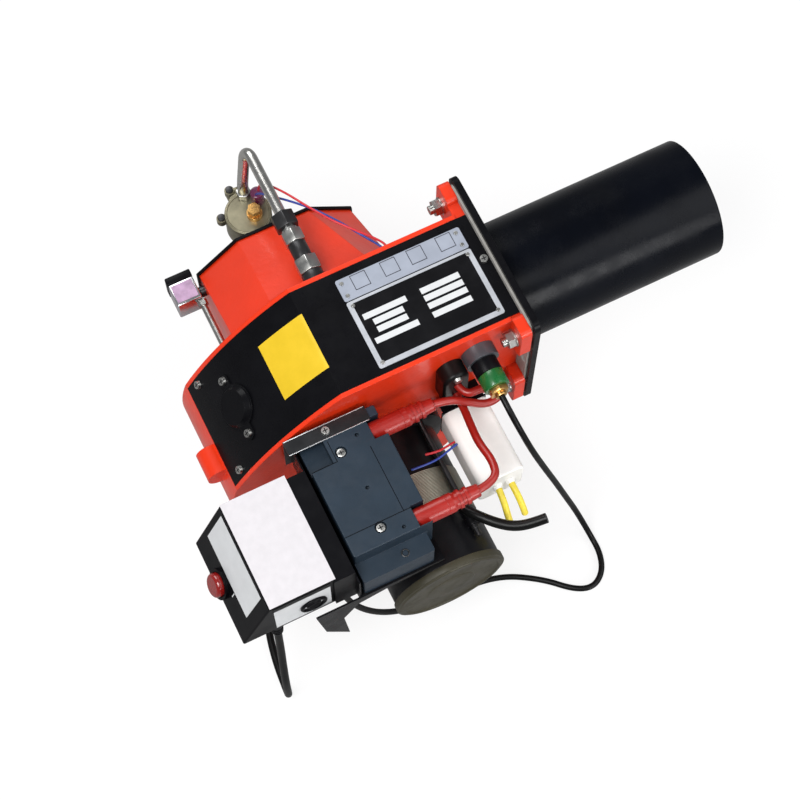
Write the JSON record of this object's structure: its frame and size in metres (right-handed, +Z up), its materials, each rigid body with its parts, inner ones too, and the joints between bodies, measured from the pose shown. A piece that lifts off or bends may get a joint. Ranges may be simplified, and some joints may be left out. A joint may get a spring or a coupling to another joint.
{
  "type": "waste oil burner",
  "caption": "Waste oil burner: scroll fan housing with motor, air inlet hood, blast tube with nozzle and electrodes, ignition transformer, control unit and oil valve",
  "frame": {"origin": "centre of the mounting flange's front face, on the axis of the blast tube", "axes": "+X the way the flame leaves the blast tube, +Z up with the top cover uppermost, +Y towards the air inlet hood"},
  "size_m": [0.5304, 0.4306, 0.2771],
  "materials": {
    "black_satin": "satin black enamel",
    "gasket_grey": "fibre gasket",
    "casting_red": "glossy red stove enamel",
    "aluminium_plate": "thin aluminium sheet",
    "bright_steel": "bright turned steel",
    "galvanised": "zinc-plated steel",
    "motor_paint": "black paint",
    "stack_steel": "bare stator laminations",
    "copper": "enamelled copper wire",
    "motor_cap": "dark olive-brown paint",
    "dark_steel": "blackened steel",
    "capacitor_white": "white moulding",
    "slate_plastic": "dark blue-grey potted moulding",
    "lead_red": "red silicone rubber",
    "rubber_black": "matt black rubber",
    "porcelain": "glazed white porcelain",
    "stainless": "drawn stainless tube",
    "brass": "turned brass",
    "black_plastic": "matt black moulding",
    "board_green": "green board with dark relay",
    "button_red": "translucent red moulding",
    "cable_black": "black flexible cable",
    "grey_ring": "grey moulding",
    "zinc_yellow": "yellow zinc-plated body",
    "coil_purple": "dark purple coil moulding",
    "chrome_coil": "bright pressed coil case",
    "wire_mixed": "thin insulated wire"
  },
  "bodies": {
    "frame": {"mounting_flange": "black_satin", "flange_gasket": "gasket_grey", "blast_tube": "black_satin", "fan_housing": "casting_red", "top_cover": "black_satin", "sight_port_cap": "black_satin", "nameplate": "aluminium_plate", "symbol_plate": "aluminium_plate", "small_fasteners": "bright_steel", "air_hood": "casting_red", "inlet_plate": "black_satin", "shutter_pivot": "bright_steel", "flange_bolts": "bright_steel", "motor_front_bell": "motor_paint", "motor_stator": "stack_steel", "motor_windings": "copper", "motor_rear_bell": "motor_paint", "motor_end_cap": "motor_cap", "motor_tie_rods": "dark_steel", "motor_bearings": "bright_steel", "capacitor": "capacitor_white", "capacitor_clamp": "black_satin", "control_bracket": "black_satin", "transformer_rail": "galvanised", "ignition_transformer": "slate_plastic", "ht_boots": "lead_red", "lead_grommet": "rubber_black", "ht_leads": "lead_red", "electrode_insulators": "porcelain", "electrodes": "dark_steel", "electrode_clamp": "bright_steel", "nozzle_line": "stainless", "nozzle_holder": "brass", "oil_nozzle": "brass", "diffuser_disc": "stainless", "control_base": "black_plastic", "control_box": "black_plastic", "control_board": "board_green", "cable_gland": "black_plastic", "power_cord": "cable_black", "power_cord_coil": "cable_black", "power_plug": "rubber_black", "sensor_holder": "grey_ring", "flame_sensor": "black_plastic", "sensor_cable": "cable_black", "valve_bracket": "galvanised", "valve_body": "zinc_yellow", "valve_cap": "brass", "valve_coil": "coil_purple", "oil_tube": "stainless", "tube_fittings": "dark_steel", "solenoid_coil": "chrome_coil", "air_pipe": "bright_steel", "valve_wires": "wire_mixed", "motor_wires": "wire_mixed"},
    "rotor": {"motor_rotor": "bright_steel", "fan_impeller": "galvanised"},
    "shutter": {"air_shutter": "galvanised"},
    "button": {"reset_button": "button_red"}
  },
  "joints": [
    {"name": "rotor_spin", "type": "hinge", "parent": "frame", "child": "rotor", "pos_m": [-0.142, -0.1, -0.08], "axis": [0, 1, 0], "continuous": true},
    {"name": "shutter_turn", "type": "hinge", "parent": "frame", "child": "shutter", "pos_m": [-0.148, 0.14, -0.068], "axis": [0, 1, 0], "range_deg": [0, 60]},
    {"name": "button_press", "type": "slide", "parent": "frame", "child": "button", "axis": [0.9138, 0, -0.4061], "range_m": [0, 0.003], "stiffness_N_per_m": 300}
  ]
}
